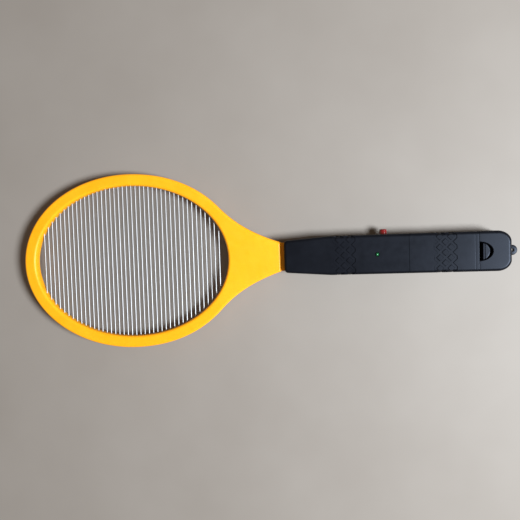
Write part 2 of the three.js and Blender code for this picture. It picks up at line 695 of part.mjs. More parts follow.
function addLed(group) {
  const { x, radius, flange, low, high } = LED;
  const dome = new THREE.SphereGeometry(radius, 12, 6);
  dome.rotateX(Math.PI / 2);
  dome.translate(x, 0, high - radius);
  const body = join([
    post(x, 0, flange, low, low + 0.9),
    post(x, 0, radius, low, high - radius),
    solid(dome),
    leg(x - 0.9, 0, low + 0.3),
    leg(x + 0.9, 0, low + 0.3),
  ]);
  part(group, 'status_led', body, greenLens);
}

function addWiring(group) {
  const front = FRONT_BULKHEAD - 2.9;
  [['battery_lead_positive', 1, redWire], ['battery_lead_negative', -1, blackWire]].forEach(
    ([name, side, material]) => {
      const y = side * CELL.offset;
      const route = [
        spot(front, y, 13.1), spot(front - 1, y, 11.5),
        spot(front - 4, y, 9.6), spot(BOARD.end - 2.2, y * 1.4, 8.3),
      ];
      part(group, name, lead(route, 0.6, 8), material);
    },
  );
  [['high_voltage_lead_1', 1], ['high_voltage_lead_2', -1]].forEach(([name, side]) => {
    const route = [
      spot(187, side * 30.5, MIDDLE), spot(196, side * 22, MIDDLE), spot(209, side * 13, MIDDLE),
      spot(226, side * 8, MIDDLE), spot(240, side * 6.6, MIDDLE), spot(258, side * 6.5, MIDDLE),
      spot(265, side * 7.2, 10), spot(BOARD.start + 4, side * 8.5, 8.3),
    ];
    part(group, name, lead(route, 0.7, 20), whiteWire);
  });
}

// ---------------------------------------------------------------- push button
function addButton(group) {
  const { x, radius, flange, tip } = BUTTON;
  const { back, front, half, high } = SWITCH;
  const wall = HANDLE_HALF.kink - HANDLE_WALL - GAP + 0.1; // inner face that stops the flange
  const flangeBack = wall - 1.2;
  const switchBody = cut(block(x - half, x + half, back, front, onBoard, high), [
    crossRod(x, MIDDLE, 1.6, back + 1.5, front + 1),
  ]);
  const cap = join([
    crossRod(x, MIDDLE, flange, flangeBack, wall),
    crossRod(x, MIDDLE, radius, wall - 0.5, tip - 1.2),
    crossRod(x, MIDDLE, radius, tip - 1.2, tip, 16, radius - 1),
    crossRod(x, MIDDLE, 1.3, flangeBack - 1, flangeBack + 0.5, 12),
  ]);
  const plunger = crossRod(x, MIDDLE, 1.3, back + 3.3, flangeBack - 1 - GAP, 12);
  const wire = 0.25;
  const spring = new Coil(
    spot(x, front + GAP + wire, MIDDLE), spot(0, flangeBack - front - 2 * (GAP + wire), 0), 2.4, 3,
  );
  part(group, 'switch_body', switchBody, blackPlastic);
  part(group, 'switch_plunger', plunger, blackPlastic);
  part(group, 'button_cap', cap, redPlastic);
  part(group, 'button_spring', tube(spring, wire, 30), steel);
}

// ---------------------------------------------------------------- assembly
const swatter = new THREE.Group();
const head = new THREE.Group();
const handle = new THREE.Group();
const powerPack = new THREE.Group();
swatter.add(head, handle, powerPack);
swatter.position.x = -LENGTH / 2;

addFrame(head);
addElectrodes(head);
addFrameScrews(head);
addRearShell(handle);
addFrontShell(handle);
addHandleScrews(handle);
addBatteryCover(handle);
addLatch(handle);
addBatteries(powerPack);
addContacts(powerPack);
addBoard(powerPack);
addTransformer(powerPack);
addCapacitors(powerPack);
addSmallParts(powerPack);
addLed(powerPack);
addWiring(powerPack);
addButton(powerPack);

export default swatter;
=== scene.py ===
"""Looks of the electric fly swatter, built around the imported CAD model.

Shapes are worked out in millimetres with x measured from the head's tip, as on the part's own
drawing, and moved to the row frame in metres when their mesh is made.
"""

import json
import math

import bmesh
import bpy
import numpy as np
from mathutils import Matrix, Vector


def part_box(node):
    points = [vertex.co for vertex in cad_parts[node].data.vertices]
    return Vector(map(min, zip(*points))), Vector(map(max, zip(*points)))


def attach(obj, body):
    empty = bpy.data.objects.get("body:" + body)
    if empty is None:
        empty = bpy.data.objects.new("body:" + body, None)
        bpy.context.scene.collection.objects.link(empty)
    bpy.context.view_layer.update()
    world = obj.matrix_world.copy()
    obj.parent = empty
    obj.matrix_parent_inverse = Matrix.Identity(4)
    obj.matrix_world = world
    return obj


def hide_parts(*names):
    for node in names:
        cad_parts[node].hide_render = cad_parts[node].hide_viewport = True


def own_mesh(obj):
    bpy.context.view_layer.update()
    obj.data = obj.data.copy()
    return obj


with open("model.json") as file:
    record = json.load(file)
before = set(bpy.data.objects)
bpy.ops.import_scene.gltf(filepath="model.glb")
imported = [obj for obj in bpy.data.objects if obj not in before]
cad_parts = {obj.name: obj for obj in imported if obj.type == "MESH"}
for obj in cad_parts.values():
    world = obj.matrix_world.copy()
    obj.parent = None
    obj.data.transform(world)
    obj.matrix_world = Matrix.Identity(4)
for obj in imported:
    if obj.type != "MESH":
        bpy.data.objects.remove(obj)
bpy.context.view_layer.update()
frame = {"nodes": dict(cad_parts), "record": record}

MM = 0.001
SLIVER = 0.02  # mm, below which points are merged
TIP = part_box("frame_front")[0].x

# ------------------------------------------------------------------ dimensions, mm
MIDDLE = 11.0  # the plane where the halves meet, and of the wires
GAP = 0.3

HEAD_CENTRE = 100.0
HEAD = (100.0, 79.4)
OPENING_CENTRE = 100.6
OPENING = (89.8, 68.7)
HEAD_LOW, HEAD_HIGH = 6.0, 16.0
OUTER_FILLET = 1.9
INNER_FILLET = 2.6
SHOULDER = [(129.6, 79.4), (160.5, 70.4)]
NECK_JOIN = (182.6, 46.6)
FLARE = [(199, 29.1), (217, 20.3)]
NECK_END = (238.0, 13.0)
CORE_INSET = 1.5  # skin thickness outside which the frame is built afresh
STEM_HEIGHTS = (7.5, 14.5)
STEM_ROOT = 2.5  # how far the stem reaches into the neck
FRAME_SPACE = (-5, 300, -90, 90)  # x and y ranges round the whole frame

WIRE_COUNT = 42
WIRE_PITCH = 4.0
WIRE_RADIUS = 0.6
WIRE_TAIL = 1.5
WIRE_TIP = (0.4, 0.2)  # radius of a wire's end, and length of its taper
BUS_WIDTH = 1.6
BUS_OFFSET = 3.0
BUS_REACH = 84.0

HANDLE_START, HANDLE_KINK, HANDLE_END = 241.0, 281.9, 436.3
HANDLE_HALVES = (14.1, 17.2, 17.5)
HANDLE_HIGH = 22.0
HANDLE_FILLET = 2.6
HANDLE_WALL = 2.0
HANDLE_LAP = 0.6  # how far the ribs and bosses reach into the wall
HANDLE_SPACE = (235, 445, -20, 20)  # x and y ranges round the whole handle
MOUTH_HALF = 12.9  # the hole for the stem
MOUTH_HEIGHTS = (7.2, 14.8)
MOUTH_DEEP = 12.0
FRONT_CORNER = (3.4, 3.4)
END_CORNER = (12.0, 9.5)
HALF_SECTION_STEPS = 120

GRIP_CENTRES = (293.8, 380.5)
GRIP_PERIOD = 9.4
GRIP_ROUNDS = 12  # half periods from the top's middle line round to the bottom's
GROOVE_DEPTHS = (0.5, 0.95)  # on the flat faces and on the sides
GROOVE_HALF, GROOVE_FLOOR = 1.33, 0.99  # half widths at the mouth and at the floor

BAY_FRONT, BAY_REAR = 349.8, 408.8
SKIRT_LOW = 14.0
SWING_DRAFT = 0.55
COVER_LINE = 405.6
RECESS = (11.5, 8.1)
RECESS_FLOOR = 9.5
PAD_START = 411.9
PAD = (5.9, 7.0)
PAD_HIGH = 21.6
PAD_THICK = 1.4
CREASE = 413.6
CREASE_DEEP = 0.35

EYELET_X = 440.0
EYELET_RADIUS = 4.5
EYELET_HEIGHTS = (6.0, 10.6)
EYELET_HOLE = 1.4

LED_X = 322.4
LED_RADIUS = 1.5
LED_FLANGE = 1.9
LED_HEIGHTS = (16.8, 17.6)  # of its flange
LED_HOLE = 1.75
BUTTON_X = 329.1
BUTTON_RADIUS = 3.5
BUTTON_HOLE = 3.85
SPRING_RADIUS = 2.4
SPRING_WIRE = 0.25
SPRING_TURNS = 4

SCREWS = {
    "frame": {"radius": 2.0, "high": 1.2, "shank": 1.0, "length": 6.6},
    "handle": {"radius": 2.4, "high": 1.5, "shank": 1.3, "length": 16.9},
}
FRAME_RECESS = (2.3, 1.6)  # radius and depth of the recess for a screw head
HANDLE_RECESS = (2.8, 2.2)
HANDLE_BORE = (1.7, 12.0)  # radius of the hole for the shank, and where it ends
CELL_RADIUS = 7.1
NUB_RADIUS = 2.7

# ------------------------------------------------------------------ view, light and floor, m
VIEW_PLACE = (0.03865, 0.0197, 0.5157)
VIEW_TURNS = (-0.0464, 0.0816, -0.0325)  # about x, y and z
VIEW_LENS = 38.77
WINDOW_PLACE = (1.0, -0.19, 1.2)
WINDOW_TARGET = (0.1, 0.0, 0.0)
WINDOW_SIZE = 0.5
WINDOW_POWER = 53
WINDOW_COLOUR = (0.9, 0.96, 1.0)
ROOM_COLOUR = (1.0, 0.76, 0.56)
ROOM_STRENGTH = 0.22
FLOOR_SIZE = 3.0
FLOOR_LEVEL = -0.0002
FLOOR_DARK = (0.24, 0.215, 0.194)
FLOOR_LIGHT = (0.262, 0.237, 0.216)


# ------------------------------------------------------------------ mesh helpers
def make(name, points, faces):
    """A mesh object from points in millimetres."""
    points = np.asarray(points, float) * MM + (TIP, 0, 0)
    mesh = bpy.data.meshes.new(name)
    mesh.from_pydata(points.tolist(), [], [list(f) for f in faces])
    mesh.update()
    obj = bpy.data.objects.new(name, mesh)
    bpy.context.scene.collection.objects.link(obj)
    return obj


def outward(obj):
    """Points every face of a closed mesh outwards."""
    work = bmesh.new()
    work.from_mesh(obj.data)
    bmesh.ops.recalc_face_normals(work, faces=work.faces)
    work.to_mesh(obj.data)
    work.free()
    return obj


def loft(name, rings):
    """Closed solid through rings of points, with flat ends."""
    rings = np.asarray(rings, float)
    count, size = rings.shape[:2]
    faces = []
    for i in range(count - 1):
        for j in range(size):
            k = (j + 1) % size
            faces.append((i * size + j, i * size + k, (i + 1) * size + k, (i + 1) * size + j))
    faces.append(range(size - 1, -1, -1))
    faces.append(range((count - 1) * size, count * size))
    return outward(make(name, rings.reshape(-1, 3), faces))


def annulus(name, rings):
    """Closed ring-shaped solid: each ring of points joins the next, and the last the first."""
    rings = np.asarray(rings, float)
    count, size = rings.shape[:2]
    faces = []
    for i in range(count):
        n = (i + 1) % count
        for j in range(size):
            k = (j + 1) % size
            faces.append((i * size + j, i * size + k, n * size + k, n * size + j))
    return outward(make(name, rings.reshape(-1, 3), faces))


def prism(name, outline, low, high):
    """Upright solid with a flat outline of x and y points."""
    outline = np.asarray(outline, float)
    rings = [np.column_stack([outline, np.full(len(outline), z)]) for z in (low, high)]
    return loft(name, rings)


def block(x0, x1, y0, y1, z0, z1, name="block"):
    """Box between two values of x, of y and of z."""
    return prism(name, [(x0, y0), (x1, y0), (x1, y1), (x0, y1)], z0, z1)


def lathe(name, profile, centre, axis, sides=32):
    """Solid of revolution. The profile is (along, radius) pairs and starts and ends on the axis."""
    turns = np.linspace(0, 2 * math.pi, sides, endpoint=False)
    inner = profile[1:-1]
    points = [(profile[0][0], 0, 0)]
    for along, radius in inner:
        points += [(along, radius * math.cos(t), radius * math.sin(t)) for t in turns]
    points.append((profile[-1][0], 0, 0))
    faces = [(0, 1 + (j + 1) % sides, 1 + j) for j in range(sides)]
    for i in range(len(inner) - 1):
        a, b = 1 + i * sides, 1 + (i + 1) * sides
        faces += [(a + j, a + (j + 1) % sides, b + (j + 1) % sides, b + j) for j in range(sides)]
    last, end = 1 + (len(inner) - 1) * sides, len(points) - 1
    faces += [(last + j, last + (j + 1) % sides, end) for j in range(sides)]
    points = np.array(points)
    order = {"x": (0, 1, 2), "y": (1, 0, 2), "z": (2, 1, 0)}[axis]
    return outward(make(name, points[:, order] + np.asarray(centre, float), faces))


def coil(name, start, axis, length, radius, turns, wire, sides=10, steps=30):
    """Round wire wound along an axis from start."""
    count = int(steps * turns)
    t = np.linspace(0, 1, count + 1)
    angle = 2 * math.pi * turns * t
    path = np.column_stack([length * t, radius * np.cos(angle), radius * np.sin(angle)])
    tangent = np.gradient(path, axis=0)
    tangent /= np.linalg.norm(tangent, axis=1)[:, None]
    out = np.column_stack([0 * t, np.cos(angle), np.sin(angle)])
    side = np.cross(tangent, out)
    around = np.linspace(0, 2 * math.pi, sides, endpoint=False)[:, None, None]
    rings = path + wire * (np.cos(around) * out + np.sin(around) * side)
    order = {"x": (0, 1, 2), "y": (1, 0, 2)}[axis]
    return loft(name, rings.transpose(1, 0, 2)[:, :, order] + np.asarray(start, float))


def apply_modifiers(obj):
    """Makes an object's mesh what its modifiers show."""
    bpy.context.view_layer.update()
    done = obj.evaluated_get(bpy.context.evaluated_depsgraph_get())
    mesh = bpy.data.meshes.new_from_object(done)
    obj.modifiers.clear()
    obj.data = mesh


def combine(body, operation, others, keep=False):
    """Boolean of a closed mesh with others, applied to its mesh."""
    for other in others:
        step = body.modifiers.new("step", "BOOLEAN")
        step.operation = operation
        step.solver = "MANIFOLD"
        step.object = other
    apply_modifiers(body)
    if not keep:
        for other in others:
            bpy.data.objects.remove(other)
    return body


def cut(body, *others, keep=False):
    return combine(body, "DIFFERENCE", others, keep)


def join(body, *others):
    return combine(body, "UNION", others)


def common(body, *others, keep=False):
    return combine(body, "INTERSECT", others, keep)


def copy_of(obj, name):
    twin = bpy.data.objects.new(name, obj.data.copy())
    bpy.context.scene.collection.objects.link(twin)
    return twin


def solid_of(node, name):
    """Welded copy of a CAD node's mesh, for the inside of a detailed piece."""
    twin = copy_of(frame["nodes"][node], name)
    work = bmesh.new()
    work.from_mesh(twin.data)
    bmesh.ops.remove_doubles(work, verts=work.verts, dist=1e-7)
    work.to_mesh(twin.data)
    work.free()
    return twin


def smooth(obj, sharp):
    """Merges slivers and shades smoothly, but for edges turning more than sharp degrees."""
    work = bmesh.new()
    work.from_mesh(obj.data)
    bmesh.ops.remove_doubles(work, verts=work.verts, dist=SLIVER * MM)
    bmesh.ops.dissolve_degenerate(work, edges=work.edges, dist=SLIVER * MM)
    bmesh.ops.triangulate(work, faces=[f for f in work.faces if len(f.verts) > 4])
    for face in work.faces:
        face.smooth = True
    for edge in work.edges:
        edge.smooth = edge.calc_face_angle(0) < math.radians(sharp)
    work.to_mesh(obj.data)
    work.free()


def finish_mesh(obj, body, slot_name, nodes, sharp=32):
    """Smooths a piece, and says what it rides on and stands for."""
    smooth(obj, sharp)
    even = obj.modifiers.new("even", "WEIGHTED_NORMAL")
    even.keep_sharp = True
    apply_modifiers(obj)
    obj.data.materials.clear()
    obj.data.materials.append(MATERIALS[slot_name])
    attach(obj, body)
    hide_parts(*nodes)
    return obj


# ------------------------------------------------------------------ materials
def principled(name, **sockets):
    """A material, its nodes and its main shader, with values set on the shader's sockets."""
    material = bpy.data.materials.new(name)
    material.use_nodes = True
    shader = material.node_tree.nodes["Principled BSDF"]
    for socket, value in sockets.items():
        shader.inputs[socket.replace("_", " ")].default_value = value
    return material, material.node_tree, shader


def noise(tree, scale, detail=3.0, rough=0.55):
    """Noise that stays with the object."""
    node = tree.nodes.new("ShaderNodeTexNoise")
    node.inputs["Scale"].default_value = scale
    node.inputs["Detail"].default_value = detail
    node.inputs["Roughness"].default_value = rough
    place = tree.nodes.get("Texture Coordinate") or tree.nodes.new("ShaderNodeTexCoord")
    tree.links.new(place.outputs["Object"], node.inputs["Vector"])
    return node


def ramp(tree, source, low, high, dark, light):
    """Colour from dark to light as the source goes from low to high."""
    node = tree.nodes.new("ShaderNodeValToRGB")
    node.color_ramp.elements[0].position = low
    node.color_ramp.elements[1].position = high
    node.color_ramp.elements[0].color = (*dark, 1)
    node.color_ramp.elements[1].color = (*light, 1)
    tree.links.new(source, node.inputs["Fac"])
    return node


def spread(tree, source, low, high):
    """Maps a texture's value to a range."""
    node = tree.nodes.new("ShaderNodeMapRange")
    node.inputs["From Min"].default_value = 0.3
    node.inputs["From Max"].default_value = 0.7
    node.inputs["To Min"].default_value = low
    node.inputs["To Max"].default_value = high
    tree.links.new(source, node.inputs["Value"])
    return node.outputs["Result"]


def bump(tree, shader, source, distance):
    """Fine relief on a shader, as deep as distance in metres."""
    node = tree.nodes.new("ShaderNodeBump")
    node.inputs["Distance"].default_value = distance
    tree.links.new(source, node.inputs["Height"])
    tree.links.new(node.outputs["Normal"], shader.inputs["Normal"])
    return node


def moulded(name, dark, light, roughness, grain=1500, depth=0.00001, blotch=45, **sockets):
    """Moulded plastic: slow colour drift, fine surface grain and uneven gloss."""
    material, tree, shader = principled(name, **sockets)
    slow = noise(tree, blotch)
    fine = noise(tree, grain, detail=4)
    colour = ramp(tree, slow.outputs["Fac"], 0.35, 0.65, dark, light)
    tree.links.new(colour.outputs["Color"], shader.inputs["Base Color"])
    gloss = spread(tree, noise(tree, blotch * 4).outputs["Fac"], *roughness)
    tree.links.new(gloss, shader.inputs["Roughness"])
    bump(tree, shader, fine.outputs["Fac"], depth)
    return material


def metal(name, dark, light, roughness, stretch=(1, 1, 1), grain=900, depth=0.000006):
    """Metal with fine drawn or rolled marks along one direction."""
    material, tree, shader = principled(name, Metallic=1.0)
    lines = noise(tree, grain, detail=2)
    place = tree.nodes["Texture Coordinate"]
    scale = tree.nodes.new("ShaderNodeMapping")
    scale.inputs["Scale"].default_value = stretch
    tree.links.new(place.outputs["Object"], scale.inputs["Vector"])
    tree.links.new(scale.outputs["Vector"], lines.inputs["Vector"])
    colour = ramp(tree, lines.outputs["Fac"], 0.3, 0.7, dark, light)
    tree.links.new(colour.outputs["Color"], shader.inputs["Base Color"])
    tree.links.new(spread(tree, lines.outputs["Fac"], *roughness), shader.inputs["Roughness"])
    bump(tree, shader, lines.outputs["Fac"], depth)
    return material


def winding_material(name):
    """Enamelled copper wire wound in layers, with painted shade in the grooves between turns."""
    material, tree, shader = principled(name, Metallic=1.0, Roughness=0.3)
    place = tree.nodes.new("ShaderNodeTexCoord")
    wave = tree.nodes.new("ShaderNodeTexWave")
    wave.bands_direction = "Z"
    wave.inputs["Scale"].default_value = 900
    tree.links.new(place.outputs["Object"], wave.inputs["Vector"])
    # the dark end of the ramp is painted shade in the groove between two turns
    colour = ramp(tree, wave.outputs["Fac"], 0.1, 0.9, (0.16, 0.04, 0.015), (0.62, 0.22, 0.08))
    tree.links.new(colour.outputs["Color"], shader.inputs["Base Color"])
    bump(tree, shader, wave.outputs["Fac"], 0.00008)
    return material


def jacket_material(name, node, nub_towards_rear):
    """Plain printed sleeve of a cell: coloured, pale towards the nub, with bare metal ends."""
    material, tree, shader = principled(name, Roughness=0.28, Metallic=0.35)
    low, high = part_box(node)
    base, nub = (low.x, high.x) if nub_towards_rear else (high.x, low.x)
    place = tree.nodes.new("ShaderNodeTexCoord")
    split = tree.nodes.new("ShaderNodeSeparateXYZ")
    tree.links.new(place.outputs["Object"], split.inputs["Vector"])
    along = tree.nodes.new("ShaderNodeMapRange")
    along.inputs["From Min"].default_value = base
    along.inputs["From Max"].default_value = nub
    tree.links.new(split.outputs["X"], along.inputs["Value"])
    bands = tree.nodes.new("ShaderNodeValToRGB")
    bands.color_ramp.interpolation = "CONSTANT"
    steel = (0.55, 0.55, 0.53, 1)
    stops = [(0.0, steel), (0.03, (0.02, 0.09, 0.2, 1)), (0.68, (0.36, 0.37, 0.37, 1)), (0.965, steel)]
    for i, (position, colour) in enumerate(stops):
        stop = bands.color_ramp.elements[i] if i < 2 else bands.color_ramp.elements.new(position)
        stop.position = position
        stop.color = colour
    tree.links.new(along.outputs["Result"], bands.inputs["Fac"])
    tree.links.new(bands.outputs["Color"], shader.inputs["Base Color"])
    bump(tree, shader, noise(tree, 600).outputs["Fac"], 0.00001)
    return material


def make_materials():
    grey = (0.5, 0.5, 0.5)
    return {
        "yellow_plastic": moulded(
            "yellow_plastic", (0.96, 0.385, 0.006), (1.0, 0.415, 0.009), (0.38, 0.48),
            Specular_IOR_Level=0.3, Subsurface_Weight=0.15,
            Subsurface_Radius=(1.0, 0.35, 0.05), Subsurface_Scale=0.003,
        ),
        "dark_plastic": moulded(
            "dark_plastic", (0.004, 0.0045, 0.0065), (0.0055, 0.0062, 0.009), (0.33, 0.39),
            # the bluish specular tint is a painted reflection colour: it gives the gloss the cool blue of
            # window light
            grain=2600, depth=0.000012, Specular_IOR_Level=0.12, Specular_Tint=(0.68, 0.78, 1.0, 1),
        ),
        "red_plastic": moulded(
            "red_plastic", (0.15, 0.004, 0.006), (0.19, 0.006, 0.008), (0.1, 0.16), Coat_Weight=0.8,
        ),
        "green_lens": moulded(
            "green_lens", (0.008, 0.1, 0.035), (0.012, 0.13, 0.045), (0.14, 0.2), Coat_Weight=0.5,
        ),
        "electrode_steel": metal(
            "electrode_steel", (0.34, 0.35, 0.37), (0.46, 0.47, 0.49), (0.44, 0.54), (40, 1, 40),
        ),
        "zinc_screw": metal("zinc_screw", grey, (0.66, 0.66, 0.67), (0.25, 0.4)),
        "contact_nickel": metal("contact_nickel", (0.55, 0.55, 0.52), (0.72, 0.72, 0.69), (0.2, 0.35)),
        "copper_winding": winding_material("copper_winding"),
        "board_laminate": moulded(
            "board_laminate", (0.3, 0.17, 0.05), (0.38, 0.23, 0.08), (0.4, 0.55), blotch=220,
        ),
        "black_plastic": moulded("black_plastic", (0.008, 0.008, 0.009), (0.014, 0.014, 0.015), (0.4, 0.5)),
        "ferrite": moulded(
            "ferrite", (0.02, 0.02, 0.022), (0.045, 0.045, 0.047), (0.55, 0.75), grain=1200, depth=0.00005,
        ),
        "film_case": moulded("film_case", (0.16, 0.02, 0.01), (0.22, 0.032, 0.016), (0.2, 0.32)),
        "ceramic_blue": moulded("ceramic_blue", (0.02, 0.1, 0.28), (0.035, 0.15, 0.38), (0.25, 0.4)),
        "resistor_body": moulded("resistor_body", (0.5, 0.3, 0.12), (0.6, 0.38, 0.17), (0.35, 0.5)),
        "red_insulation": moulded("red_insulation", (0.35, 0.01, 0.01), (0.45, 0.016, 0.014), (0.4, 0.5)),
        "black_insulation": moulded(
            "black_insulation", (0.008, 0.008, 0.008), (0.015, 0.015, 0.015), (0.4, 0.5),
        ),
        "white_insulation": moulded("white_insulation", (0.6, 0.6, 0.58), (0.72, 0.72, 0.7), (0.4, 0.5)),
        "cell_jacket": jacket_material("cell_jacket", "battery_1", False),
        "cell_jacket_turned": jacket_material("cell_jacket_turned", "battery_2", True),
    }


def dress_cad_nodes():
    """Gives each CAD node that stays in view the material of its slot."""
    for row in frame["record"]["subparts"]:
        node = frame["nodes"][row["node"]]
        node.data.materials.clear()
        node.data.materials.append(MATERIALS[row["material_slot"]])


# ------------------------------------------------------------------ head
def ellipse_points(centre, half, angles):
    return np.column_stack([centre + half[0] * np.cos(angles), half[1] * np.sin(angles)])


def half_chord(half, x):
    """Half width at x of an ellipse about the middle of the opening."""
    return half[1] * math.sqrt(1 - ((x - OPENING_CENTRE) / half[0]) ** 2)


def bezier(points, steps):
    """Points along a cubic curve with four control points."""
    a, b, c, d = np.asarray(points, float)
    t = np.linspace(0, 1, steps + 1)[:, None]
    return (1 - t) ** 3 * a + 3 * (1 - t) ** 2 * t * b + 3 * (1 - t) * t**2 * c + t**3 * d


def frame_contours():
    """Matching points of the frame's outline and of the opening, counter-clockwise from the neck."""
    quarter = ellipse_points(HEAD_CENTRE, HEAD, np.linspace(math.pi / 2, math.pi, 61))[::-1]
    shoulder = bezier([(HEAD_CENTRE, HEAD[1]), *SHOULDER, NECK_JOIN], 44)
    flare = bezier([NECK_JOIN, *FLARE, NECK_END], 36)
    face = [(NECK_END[0], y) for y in np.linspace(NECK_END[1], 0, 9)]
    upper = np.vstack([quarter, shoulder[1:], flare[1:], face[1:]])
    steps = np.linalg.norm(np.diff(upper, axis=0), axis=1)
    walked = np.concatenate([[0], np.cumsum(steps)])
    top = len(quarter)
    angle = np.interp(walked, [0, walked[top - 1], walked[-1]], [math.pi, math.pi / 2, 0])
    angle[:top] = np.linspace(math.pi, math.pi / 2, top)
    lower = upper[1:-1][::-1] * (1, -1)
    outline = np.vstack([upper, lower])
    angles = np.concatenate([angle, -angle[1:-1][::-1]])
    return outline, angles


def shrink(outline, inset):
    """Moves a closed clockwise outline inwards by a distance, with mitred corners."""
    before = outline - np.roll(outline, 1, axis=0)
    after = np.roll(outline, -1, axis=0) - outline
    before /= np.linalg.norm(before, axis=1)[:, None]
    after /= np.linalg.norm(after, axis=1)[:, None]
    middle = before + after
    middle /= np.linalg.norm(middle, axis=1)[:, None]
    inwards = np.column_stack([middle[:, 1], -middle[:, 0]])
    stretch = np.sum(before * middle, axis=1)
    return outline + inwards * (inset / stretch)[:, None]


def ring_at(flat, z):
    return np.column_stack([flat, np.full(len(flat), z)])


def round_edge(radius, steps=6):
    """Round edge from the side to the face, as pairs of how far in and how far below the face."""
    turn = np.linspace(0, math.pi / 2, steps + 1)
    return [(radius * (1 - math.cos(a)), radius * (1 - math.sin(a))) for a in turn]


def frame_block(name, inset=0.0, low=HEAD_LOW, high=HEAD_HIGH, rounded=True):
    """The frame's outer form as a closed ring, shrunk by inset on the outline and the opening."""
    outline, angles = frame_contours()

    def inner(grow):
        half = (OPENING[0] + inset + grow, OPENING[1] + inset + grow)
        return ellipse_points(OPENING_CENTRE, half, angles)

    def outer(pull):
        return shrink(outline, inset + pull)

    if not rounded:
        return annulus(name, [ring_at(inner(0), low), ring_at(inner(0), high),
                              ring_at(outer(0), high), ring_at(outer(0), low)])
    rings = []
    for level, side in ((low, -1), (high, 1)):
        inner_rings = [ring_at(inner(pull), level - side * drop) for pull, drop in round_edge(INNER_FILLET)]
        outer_rings = [ring_at(outer(pull), level - side * drop) for pull, drop in round_edge(OUTER_FILLET)]
        between = [inner_rings[-1] + (outer_rings[-1] - inner_rings[-1]) * t for t in (0.25, 0.5, 0.75)]
        across = inner_rings + between + outer_rings[::-1]
        rings += across[::-1] if side < 0 else across
    return annulus(name, rings)


def add_frame_half(name, node, low, high):
    """Rounded skin between two heights, filled with the CAD's wire slots, bosses and stem."""
    skin = common(frame_block(name), block(*FRAME_SPACE, low, high))
    core = frame_block("core", CORE_INSET, HEAD_LOW + CORE_INSET, HEAD_HIGH - CORE_INSET, rounded=False)
    skin = cut(skin, core, keep=True)
    inside = common(solid_of(node, "inside"), core)
    root = NECK_END[0] - STEM_ROOT
    stem = common(solid_of(node, "stem"), block(root, *FRAME_SPACE[1:], *STEM_HEIGHTS))
    skin = join(skin, inside, stem)
    if low < HEAD_LOW:
        skin = cut(skin, *[frame_counterbore(x, y) for x, y, _ in screw_places("frame")])
    return finish_mesh(skin, "swatter", "yellow_plastic", [node])


def frame_counterbore(x, y):
    """Recess in the back of the frame for a screw head."""
    radius, deep = FRAME_RECESS
    profile = [(-1, 0), (-1, radius + 1.3), (0.3, radius), (deep, radius), (deep, 0)]
    return lathe("frame_counterbore", profile, (x, y, HEAD_LOW), "z", 36)


def add_electrode(name, node, first, side):
    """Every second wire, with round ends, welded to a bus bar that follows the rim."""
    bus = (OPENING[0] + BUS_OFFSET, OPENING[1] + BUS_OFFSET)
    span = math.acos(BUS_REACH / bus[0])
    angles = np.linspace(span, math.pi - span, 90)
    half = BUS_WIDTH / 2
    rings = []
    for angle in angles:
        centre = ellipse_points(OPENING_CENTRE, bus, np.array([angle]))[0]
        out = np.array([math.cos(angle) / bus[0], math.sin(angle) / bus[1]])
        out /= np.linalg.norm(out)
        corners = [(-half, -half), (half, -half), (half, half), (-half, half)]
        ring = [(*(centre + out * a) * (1, side), MIDDLE + b) for a, b in corners]
        rings.append(ring)
    bar = loft(name, rings)
    wires = []
    for i in range(first, WIRE_COUNT, 2):
        x = HEAD_CENTRE + (i - (WIRE_COUNT - 1) / 2) * WIRE_PITCH
        near = half_chord(bus, x) * side
        far = -(half_chord(OPENING, x) + WIRE_TAIL) * side
        low, high = min(near, far), max(near, far)
        tip, taper = WIRE_TIP
        profile = [(low, 0), (low, tip), (low + taper, WIRE_RADIUS)]
        profile += [(high - taper, WIRE_RADIUS), (high, tip), (high, 0)]
        wires.append(lathe("wire", profile, (x, 0, MIDDLE), "y", sides=14))
    return finish_mesh(join(bar, *wires), "swatter", "electrode_steel", [node])


# ------------------------------------------------------------------ handle
def pulled(distance, radius):
    """How far a round corner has drawn in at a distance from its end."""
    missing = max(radius - distance, 0)
    return radius - math.sqrt(max(radius**2 - missing**2, 0))


def handle_quarter(x, inset, fillet):
    """Quarter of the section at x: points (y, height over the middle) from the top to the side."""
    start, end = HANDLE_START + inset, HANDLE_END - inset
    half = np.interp(x, (HANDLE_START, HANDLE_KINK, HANDLE_END), HANDLE_HALVES) - inset
    high = HANDLE_HIGH / 2 - inset
    distance, corner = min((x - start, FRONT_CORNER), (end - x, END_CORNER))
    along, across = max(corner[0] - inset, 1.2), max(corner[1] - inset, 1.2)
    missing = max(along - distance, 0)
    centre = half - across
    width = centre + across * math.sqrt(max(1 - (missing / along) ** 2, 0))
    inner_along, inner_across = max(along - fillet, 0.1), max(across - fillet, 0.1)
    flat = centre + inner_across * math.sqrt(max(1 - (missing / inner_along) ** 2, 0))
    drop = pulled(distance, fillet)
    turn = np.linspace(0, math.pi / 2, 13)
    arc_y = flat + (width - flat) * np.sin(turn)
    arc_z = high - fillet + (fillet - drop) * np.cos(turn)
    return np.column_stack([np.r_[0, arc_y, width], np.r_[high - drop, arc_z, 0]])


def handle_section(x, inset=0.0, fillet=HANDLE_FILLET, steps=HALF_SECTION_STEPS):
    """Half of the section, from the top's middle to the bottom's, as evenly spaced (y, z)."""
    quarter = handle_quarter(x, inset, fillet)
    half = np.vstack([quarter, quarter[-2::-1] * (1, -1)])
    walked = np.r_[0, np.cumsum(np.linalg.norm(np.diff(half, axis=0), axis=1))]
    even = np.linspace(0, walked[-1], steps + 1)
    y, z = np.interp(even, walked, half[:, 0]), np.interp(even, walked, half[:, 1])
    return np.column_stack([y, z + MIDDLE])


def groove(distance, half, depth, floor=0.0):
    """Depth at a distance from the middle of a groove with a flat floor of half width floor."""
    return depth * np.clip((half - np.abs(distance)) / (half - floor), 0, 1)


